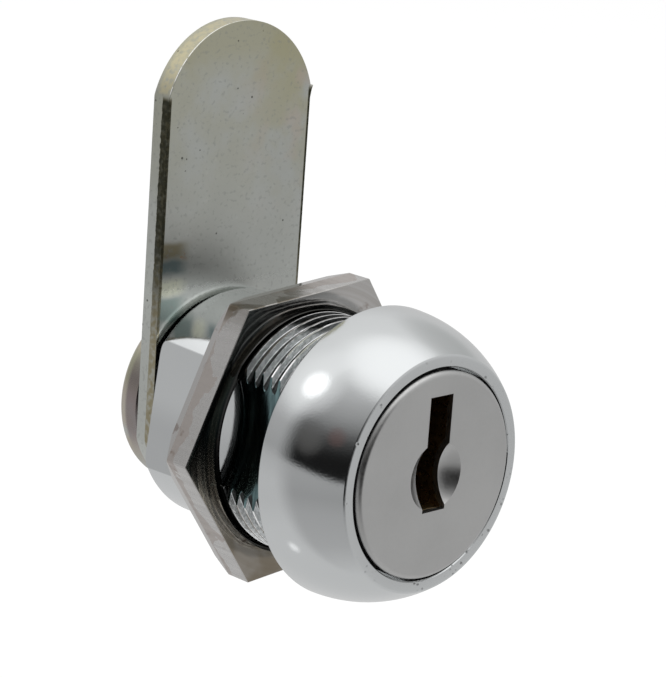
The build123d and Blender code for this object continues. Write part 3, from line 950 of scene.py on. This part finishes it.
class CAMLOCK_OT_casting(bpy.types.Operator):
    """Head and threaded barrel"""
    bl_idname = "camlock.casting"
    bl_label = "Head and barrel"

    def execute(self, context):
        head = context.scene.cam_lock_head
        front = BODY_LOW.y
        rear = BODY_HIGH.y
        floor = front + head.recess_depth
        core = head.thread_radius - head.thread_depth - head.weld
        rim_angle = math.asin(-front / head.dome_radius)
        edge = head.edge_radius
        edge_centre = (head.dome_radius - edge, -edge)
        end = rear + head.rim_height
        rim_centre = (head.shank_radius - head.rim_round, end - head.rim_round)
        outline = [(0, floor), (0, rear), (head.rim_inner, rear), (head.rim_inner, end)]
        outline += arc(rim_centre, head.rim_round, math.pi / 2, 0, RIM_STEPS)
        outline += [(head.shank_radius, head.thread_end), (core, head.thread_end), (core, 0)]
        outline += arc(edge_centre, edge, math.pi / 2, 0, EDGE_STEPS)
        dome_start = -math.asin(edge / head.dome_radius)
        rim_turn = head.rim_edge / head.dome_radius
        outline += arc((0, 0), head.dome_radius, dome_start, -rim_angle + rim_turn, DOME_STEPS)
        rim_radius = head.dome_radius * math.cos(rim_angle)
        inwards, back = RIM_CORNER
        outline += [(rim_radius - head.rim_edge * inwards, front + head.rim_edge * back)]
        outline += [(rim_radius - head.rim_edge * RIM_END, front)]
        outline += [(head.recess_radius + head.recess_break, front)]
        outline += [(head.recess_radius, front + head.recess_break)]
        outline += [(head.recess_radius, floor)]
        piece = turned("head_and_barrel", outline, CASTING_STEPS)
        span = (head.thread_start, head.thread_end)
        thread = threaded_rod("barrel_thread", head.thread_radius, head, *span)
        combine(piece, "UNION", thread)
        self.cut_bore(piece, head, floor, rear)
        self.cut_flats(piece, head, rear)
        notch = sector(
            "notch", head.bore_radius - head.channel_overlap, head.thread_radius + SHORT_REACH,
            rear - head.notch_depth, rear + REACH, head.notch_start, head.notch_sweep, NOTCH_STEPS,
        )
        combine(piece, "DIFFERENCE", notch)
        smooth(piece, BODY_SMOOTH_LIMIT)
        finish = context.scene.cam_lock_finish
        settle(piece, "body", "lock_body", bright_chrome(finish, head))
        return {"FINISHED"}

    @staticmethod
    def cut_bore(piece, head, floor, rear):
        groove_front = head.groove_place - head.groove_half
        groove_rear = head.groove_place + head.groove_half
        start = floor - SHORT_REACH
        end = rear + SHORT_REACH
        bore = [
            (0, start), (head.bore_radius, start), (head.bore_radius, groove_front),
            (head.groove_radius, groove_front), (head.groove_radius, groove_rear),
            (head.bore_radius, groove_rear), (head.bore_radius, end), (0, end),
        ]
        combine(piece, "DIFFERENCE", turned("bore", bore))
        for quarter in range(4):
            middle = head.flat_lean + quarter * math.pi / 2
            channel = sector(
                "channel", head.bore_radius - head.channel_overlap, head.channel_radius,
                head.channel_front, head.channel_rear,
                middle - head.channel_half, 2 * head.channel_half, CHANNEL_STEPS,
            )
            combine(piece, "DIFFERENCE", channel)

    @staticmethod
    def cut_flats(piece, head, rear):
        thick, tall = FLAT_CUT
        for side in (-1, 1):
            middle = side * (head.flat_distance + thick / 2)
            bpy.ops.object.select_all(action="DESELECT")
            bpy.ops.mesh.primitive_cube_add(size=1, location=(middle, rear, 0))
            block = bpy.context.object
            block.scale = (thick, 2 * rear, tall)
            bpy.ops.object.transform_apply(location=True, rotation=True, scale=True)
            lean_over(block, side * head.flat_draft, axis=2)
            lean_over(block, head.flat_lean)
            combine(piece, "DIFFERENCE", block)


class CAMLOCK_OT_cap(bpy.types.Operator):
    """Face cap with its key slot"""
    bl_idname = "camlock.cap"
    bl_label = "Face cap"

    def execute(self, context):
        cap = context.scene.cam_lock_cap
        front = CAP_LOW.y
        rear = CAP_HIGH.y
        outer = CAP_HIGH.x
        ball = (cap.dimple_radius ** 2 + cap.dimple_depth ** 2) / (2 * cap.dimple_depth)
        centre = (0, front + cap.dimple_depth - ball)
        rim = math.asin(cap.dimple_radius / ball)
        inner_rim = math.acos((front + cap.sheet - centre[1]) / (ball + cap.sheet))
        edge_centre = (outer - cap.edge_radius, front + cap.edge_radius)
        outline = arc(centre, ball, math.pi / 2, math.pi / 2 - rim, BALL_STEPS)
        outline += arc(edge_centre, cap.edge_radius, -math.pi / 2, 0, ROUND_STEPS)
        outline += [(outer, rear), (cap.lip_radius, rear), (cap.lip_radius, rear - cap.lip)]
        outline += [(cap.inner_radius, rear - cap.lip), (cap.inner_radius, front + cap.sheet)]
        outline += arc(centre, ball + cap.sheet, math.pi / 2 - inner_rim, math.pi / 2, BALL_STEPS)
        piece = turned("face_cap_pressing", outline)
        half = cap.key_width / 2
        slot = [(-half, cap.key_bottom), (half, cap.key_bottom), (half, cap.key_top), (-half, cap.key_top)]
        combine(piece, "DIFFERENCE", plate("slot", slot, front - REACH, front + LONG_REACH))
        smooth(piece)
        finish = context.scene.cam_lock_finish
        settle(piece, "plug", "face_cap", satin_cap(finish))
        return {"FINISHED"}


class CAMLOCK_OT_nut(bpy.types.Operator):
    """Hexagon nut with its inner thread"""
    bl_idname = "camlock.nut"
    bl_label = "Fixing nut"

    def execute(self, context):
        nut = context.scene.cam_lock_nut
        head = context.scene.cam_lock_head
        front = NUT_LOW.y
        rear = NUT_HIGH.y
        corner = nut.flats / 2 / math.cos(math.radians(HEXAGON_STEP / 2))
        piece = plate("hexagon_nut", hexagon_outline(corner, nut.turn, -1), front, rear)
        soften(piece, nut.edge_break)
        slope = math.tan(nut.corner_slope)
        before = front - REACH
        behind = rear + REACH
        outer = corner + REACH
        blank = [(0, before), (outer, before), (outer, rear - nut.corner_drop - REACH * slope)]
        blank += [(corner - nut.corner_drop / slope, rear), (0, rear)]
        combine(piece, "INTERSECT", turned("blank", blank))
        drilled = [(0, before), (nut.bore_radius, before), (nut.bore_radius, behind), (0, behind)]
        combine(piece, "DIFFERENCE", turned("drilled", drilled))
        tap_radius = head.thread_radius + nut.thread_play
        pitch = head.thread_pitch
        tap = threaded_rod("tap", tap_radius, head, front - pitch, rear + pitch)
        combine(piece, "DIFFERENCE", tap)
        for face, way, mouth, bevel_slope in (
            (front, 1, nut.front_mouth, nut.front_slope), (rear, -1, nut.rear_mouth, nut.rear_slope),
        ):
            rise = way * math.tan(bevel_slope)
            wide = (mouth + REACH, face - rise * REACH)
            narrow = (mouth - LONG_REACH, face + rise * LONG_REACH)
            combine(piece, "DIFFERENCE", turned("bevel", [(0, wide[1]), wide, narrow, (0, narrow[1])]))
        smooth(piece)
        finish = context.scene.cam_lock_finish
        settle(piece, "nut", "mounting_nut", nut_plate(finish))
        return {"FINISHED"}


class CAMLOCK_OT_cam(bpy.types.Operator):
    """Cam"""
    bl_idname = "camlock.cam"
    bl_label = "Cam"

    def execute(self, context):
        cam = context.scene.cam_lock_cam
        half = CAM_HIGH.x
        front = CAM_LOW.y
        rear = CAM_HIGH.y
        shoulder = math.acos(half / cam.tip_radius)
        heel = math.acos(half / cam.heel_radius)
        tip = (0, cam.tip_centre)
        outline = arc(tip, cam.tip_radius, shoulder, math.pi - shoulder, TIP_STEPS)
        outline += arc((0, 0), cam.heel_radius, math.pi + heel, FULL_TURN - heel, HEEL_STEPS)
        corner = outline[0][1]
        outline += [(half, corner - cam.burr_foot), (half + cam.burr / 2, corner - cam.burr_waist)]
        outline += [(half + cam.burr, corner + cam.burr_tip)]
        piece = plate("cam_bar", outline, front, rear)
        hole = plate("hole", square_outline(cam.square, cam.square_corner), front - REACH, rear + REACH)
        combine(piece, "DIFFERENCE", hole)
        soften(piece, cam.edge_break)
        smooth(piece)
        finish = context.scene.cam_lock_finish
        settle(piece, "plug", "cam", cam_zinc(finish))
        return {"FINISHED"}


class CAMLOCK_OT_stack(bpy.types.Operator):
    """Stop washer, clamp washer, spring washer and screw"""
    bl_idname = "camlock.stack"
    bl_label = "Washers and screw"

    def execute(self, context):
        cam = context.scene.cam_lock_cam
        finish = context.scene.cam_lock_finish
        self.stop_washer(cam, finish)
        self.clamp_washer(cam, finish)
        self.spring_washer(cam, finish)
        self.screw(cam, finish)
        return {"FINISHED"}

    @staticmethod
    def stop_washer(cam, finish):
        outer = STOP_HIGH.z
        rear = STOP_HIGH.y
        front = BODY_HIGH.y
        edge = cam.stop_edge
        tab_inner = cam.tab_inner
        tab_outer = STOP_HIGH.x
        tab_half = cam.tab_half
        worn = cam.washer_break
        outline = [(0, front), (outer - worn, front), (outer, front + worn)]
        outline += arc((outer - edge, rear - edge), edge, 0, math.pi / 2, WASHER_STEPS)
        outline += [(0, rear)]
        piece = turned("stop_washer_disc", outline)
        hole = plate("hole", square_outline(cam.square, cam.square_corner), front - REACH, rear + REACH)
        combine(piece, "DIFFERENCE", hole)
        corners = [(tab_inner, -tab_half), (tab_outer, -tab_half)]
        corners += [(tab_outer, tab_half), (tab_inner, tab_half)]
        tab = plate("tab", corners, STOP_LOW.y, rear - edge)
        combine(piece, "UNION", tab)
        smooth(piece)
        settle(piece, "plug", "stop_washer", washer_zinc(finish))

    @staticmethod
    def clamp_washer(cam, finish):
        outer = CLAMP_HIGH.x
        front = CLAMP_LOW.y
        rear = CLAMP_HIGH.y
        edge = cam.clamp_edge
        inner = outer - cam.clamp_wall
        seat = front + cam.clamp_floor
        worn = cam.clamp_break
        mouth = cam.clamp_mouth
        outline = [(cam.screw_hole, front), (outer - worn, front), (outer, front + worn)]
        outline += arc((outer - edge, rear - edge), edge, 0, math.pi / 2, ROUND_STEPS)
        outline += [(inner + mouth, rear), (inner, rear - mouth), (inner, seat), (cam.screw_hole, seat)]
        piece = turned("clamp_washer_cup", outline)
        smooth(piece)
        settle(piece, "plug", "clamp_washer", yellow_zinc(finish))

    @staticmethod
    def spring_washer(cam, finish):
        outer = SPRING_HIGH.z
        front = SPRING_LOW.y
        rear = SPRING_HIGH.y
        inner = cam.screw_hole
        worn = cam.washer_break
        outline = [(inner, front), (outer - worn, front), (outer, front + worn)]
        outline += [(outer, rear - worn), (outer - worn, rear), (inner, rear)]
        piece = turned("split_washer", outline, SPLIT_STEPS)
        half = cam.split_gap / 2
        reach = outer + REACH
        cut = plate("cut", [(0, -half), (reach, -half), (reach, half), (0, half)], -REACH, REACH)
        lean_over(cut, cam.split_slant, 0, (0, (front + rear) / 2, 0))
        combine(piece, "DIFFERENCE", cut)
        smooth(piece)
        settle(piece, "plug", "spring_washer", spring_wire(finish, "spring_steel", 0.7))

    @staticmethod
    def screw(cam, finish):
        seat = SPRING_HIGH.y
        rear = SCREW_HIGH.y
        corner = SCREW_HIGH.x
        tip = SCREW_LOW.y
        shank = cam.screw_hole - cam.shank_play
        inside = seat + SHORT_REACH
        piece = plate("hexagon_screw", hexagon_outline(corner, 0, 1), seat, rear)
        point = [(0, tip), (shank - cam.shank_tip, tip), (shank, tip + cam.shank_tip)]
        crown = point + [(shank, seat), (corner, seat), (corner, rear - cam.crown_drop)]
        crown += [(corner - cam.crown_run, rear), (0, rear)]
        shank_rod = point + [(shank, inside), (0, inside)]
        combine(piece, "INTERSECT", turned("crown", crown))
        combine(piece, "UNION", turned("shank", shank_rod))
        smooth(piece)
        settle(piece, "plug", "cam_screw", washer_zinc(finish))


class CAMLOCK_OT_core(bpy.types.Operator):
    """Finishes of the plug, wafers and springs"""
    bl_idname = "camlock.core"
    bl_label = "Plug, wafers and springs"

    def execute(self, context):
        finish = context.scene.cam_lock_finish
        plug = brass(finish, "plug_brass")
        wafer = brass(finish, "wafer_brass")
        wire = spring_wire(finish, "spring_wire")
        for name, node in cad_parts.items():
            material = None
            if name == "plug":
                material = plug
            elif name.startswith("wafer_spring") or name == "retainer_spring":
                material = wire
            elif name.startswith("wafer") or name == "retaining_wafer":
                material = wafer
            if material:
                node.data.materials.clear()
                node.data.materials.append(material)
        return {"FINISHED"}


class CAMLOCK_OT_stage(bpy.types.Operator):
    """Camera, light tent, floor and lamps"""
    bl_idname = "camlock.stage"
    bl_label = "Stage"

    def execute(self, context):
        self.camera(context)
        self.tent()
        for lamp in LAMPS:
            self.lamp(*lamp)
        self.floor()
        self.world(context)
        context.scene.view_settings.view_transform = "Standard"
        return {"FINISHED"}

    @staticmethod
    def camera(context):
        data = bpy.data.cameras.new("camera")
        camera = bpy.data.objects.new("camera", data)
        context.scene.collection.objects.link(camera)
        data.sensor_fit = "HORIZONTAL"
        data.sensor_width = SENSOR_WIDTH
        data.lens = CAMERA_LENS
        data.clip_start, data.clip_end = CLIP
        right = Vector(CAMERA_RIGHT)
        up = Vector(CAMERA_UP)
        back = right.cross(up)
        turn = Matrix((right, up, back)).transposed().to_4x4()
        camera.matrix_world = Matrix.Translation(CAMERA_PLACE) @ turn
        context.scene.camera = camera

    @staticmethod
    def tent():
        """A tent of soft light round the lock; its shade depends on the direction alone."""
        bpy.ops.object.select_all(action="DESELECT")
        bpy.ops.mesh.primitive_uv_sphere_add(
            segments=STAGE_SEGMENTS, ring_count=STAGE_RINGS, radius=TENT_RADIUS
        )
        tent = bpy.context.object
        tent.name = "light_tent"
        smooth(tent, STRAIGHT_ANGLE)
        paint = paint_named("light_tent")
        way = paint.node("ShaderNodeVectorMath", {"operation": "NORMALIZE"}, {0: paint.place})
        east = paint.part("X", way)
        north = paint.part("Y", way)
        height = paint.part("Z", way)
        rise = paint.node("ShaderNodeMath", {"operation": "ARCSINE"}, {0: height}) * DEGREE
        turn = paint.node("ShaderNodeMath", {"operation": "ARCTAN2"}, {0: east, 1: north * -1.0}) * DEGREE
        level = (rise + RIGHT_ANGLE) / STRAIGHT_ANGLE

        def wall(stops):
            greys = []
            for elevation, value in stops:
                greys.append(((elevation + RIGHT_ANGLE) / STRAIGHT_ANGLE, (value, value, value)))
            return paint.node("ShaderNodeValToRGB", {"stops": greys}, {0: level})

        # The horizon of the front drops towards the left
        edge = HORIZON
        for start, end, drop in HORIZON_DROPS:
            edge = edge - turn.between(start, end) * drop
        horizon = rise.between(edge - HORIZON_BLUR, edge + HORIZON_BLUR)
        front = paint.blend(horizon, wall(FRONT_FLOOR), wall(FRONT_WALL))
        shade = paint.blend(turn.between(*LEFT_TO_FRONT), wall(LEFT_WALL), front)
        to_right = turn.between(*FRONT_TO_RIGHT) + (1.0 - turn.between(*RIGHT_TO_LEFT))
        shade = paint.blend(to_right, shade, wall(RIGHT_WALL))
        for azimuth, elevation, inner, outer, strength, tone in PATCHES:
            sockets = {0: way, 1: direction(azimuth, elevation)}
            near = paint.node("ShaderNodeVectorMath", {"operation": "DOT_PRODUCT"}, sockets, "Value")
            patch = near.between(math.cos(math.radians(outer)), math.cos(math.radians(inner)))
            shade = paint.layer(shade, tone, patch, strength)
        light = paint.node("ShaderNodeEmission", {}, {"Color": shade, "Strength": 1.0})
        tent.data.materials.append(paint.finish(light))
        tent.visible_camera = False

    @staticmethod
    def lamp(name, azimuth, elevation, size, power):
        """A disk lamp that lights the floor; the tent holds its mirror image."""
        data = bpy.data.lights.new(name, "AREA")
        data.shape = "DISK"
        data.size = size
        data.energy = power
        way = direction(azimuth, elevation)
        made = bpy.data.objects.new(name, data)
        made.location = way * LAMP_DISTANCE
        made.rotation_mode = "QUATERNION"
        made.rotation_quaternion = way.to_track_quat("Z", "Y")
        made.visible_glossy = False
        bpy.context.scene.collection.objects.link(made)

    @staticmethod
    def floor():
        """A pale floor that looks white and still takes the shadow."""
        bpy.ops.object.select_all(action="DESELECT")
        bpy.ops.mesh.primitive_circle_add(
            vertices=STAGE_SEGMENTS, radius=FLOOR_RADIUS, fill_type="NGON", location=FLOOR_PLACE
        )
        bpy.ops.object.transform_apply(location=True, rotation=True, scale=True)
        floor = bpy.context.object
        floor.name = "floor"
        paint = paint_named("floor")
        cloth = paint.node("ShaderNodeBsdfDiffuse", {}, {"Color": FLOOR_TONE})
        glow = paint.node("ShaderNodeEmission", {}, {"Color": PURE_WHITE, "Strength": 1.0})
        seen = paint.node("ShaderNodeLightPath", {}, {}, "Is Camera Ray")
        shader = paint.node("ShaderNodeMixShader", {}, {0: seen * FLOOR_GLOW, 1: cloth, 2: glow})
        floor.data.materials.append(paint.finish(shader))
        floor.visible_glossy = False

    @staticmethod
    def world(context):
        """White where it is seen or mirrored, and a plain grey as a light."""
        world = bpy.data.worlds.new("studio")
        context.scene.world = world
        paint = Paint(world)
        seen = paint.node("ShaderNodeLightPath", {}, {}, "Is Camera Ray")
        seen = seen + paint.node("ShaderNodeLightPath", {}, {}, "Is Glossy Ray")
        seen = seen + paint.node("ShaderNodeLightPath", {}, {}, "Is Transmission Ray")
        plain = paint.node("ShaderNodeBackground", {}, {"Color": WORLD_TONE})
        white = paint.node("ShaderNodeBackground", {}, {"Color": PURE_WHITE})
        shader = paint.node("ShaderNodeMixShader", {}, {0: seen.clamp(), 1: plain, 2: white})
        paint.finish(shader, "ShaderNodeOutputWorld")


class CAMLOCK_PT_panel(bpy.types.Panel):
    """Lists the sizes, colours and pieces of the cam lock"""
    bl_idname = "CAMLOCK_PT_panel"
    bl_label = "Cam lock"
    bl_space_type = "VIEW_3D"
    bl_region_type = "UI"
    bl_category = "Cam lock"

    def draw(self, context):
        for operator in OPERATORS:
            self.layout.operator(operator.bl_idname)
        for name in GROUPS:
            group = getattr(context.scene, name)
            box = self.layout.box()
            for key in group.bl_rna.properties.keys():
                if key not in ("rna_type", "name"):
                    box.prop(group, key)


GROUPS = {
    "cam_lock_head": CamLockHead,
    "cam_lock_cap": CamLockCap,
    "cam_lock_nut": CamLockNut,
    "cam_lock_cam": CamLockCam,
    "cam_lock_finish": CamLockFinish,
}
OPERATORS = (
    CAMLOCK_OT_casting,
    CAMLOCK_OT_cap,
    CAMLOCK_OT_nut,
    CAMLOCK_OT_cam,
    CAMLOCK_OT_stack,
    CAMLOCK_OT_core,
    CAMLOCK_OT_stage,
)


def register():
    for made in (*GROUPS.values(), *OPERATORS, CAMLOCK_PT_panel):
        bpy.utils.register_class(made)
    for name, group in GROUPS.items():
        setattr(bpy.types.Scene, name, bpy.props.PointerProperty(type=group))


def unregister():
    for name in GROUPS:
        delattr(bpy.types.Scene, name)
    for made in (CAMLOCK_PT_panel, *reversed(OPERATORS), *reversed(list(GROUPS.values()))):
        bpy.utils.unregister_class(made)


def main():
    register()
    bpy.ops.camlock.casting()
    bpy.ops.camlock.cap()
    bpy.ops.camlock.nut()
    bpy.ops.camlock.cam()
    bpy.ops.camlock.stack()
    bpy.ops.camlock.core()
    bpy.ops.camlock.stage()


if __name__ == "__main__":
    main()
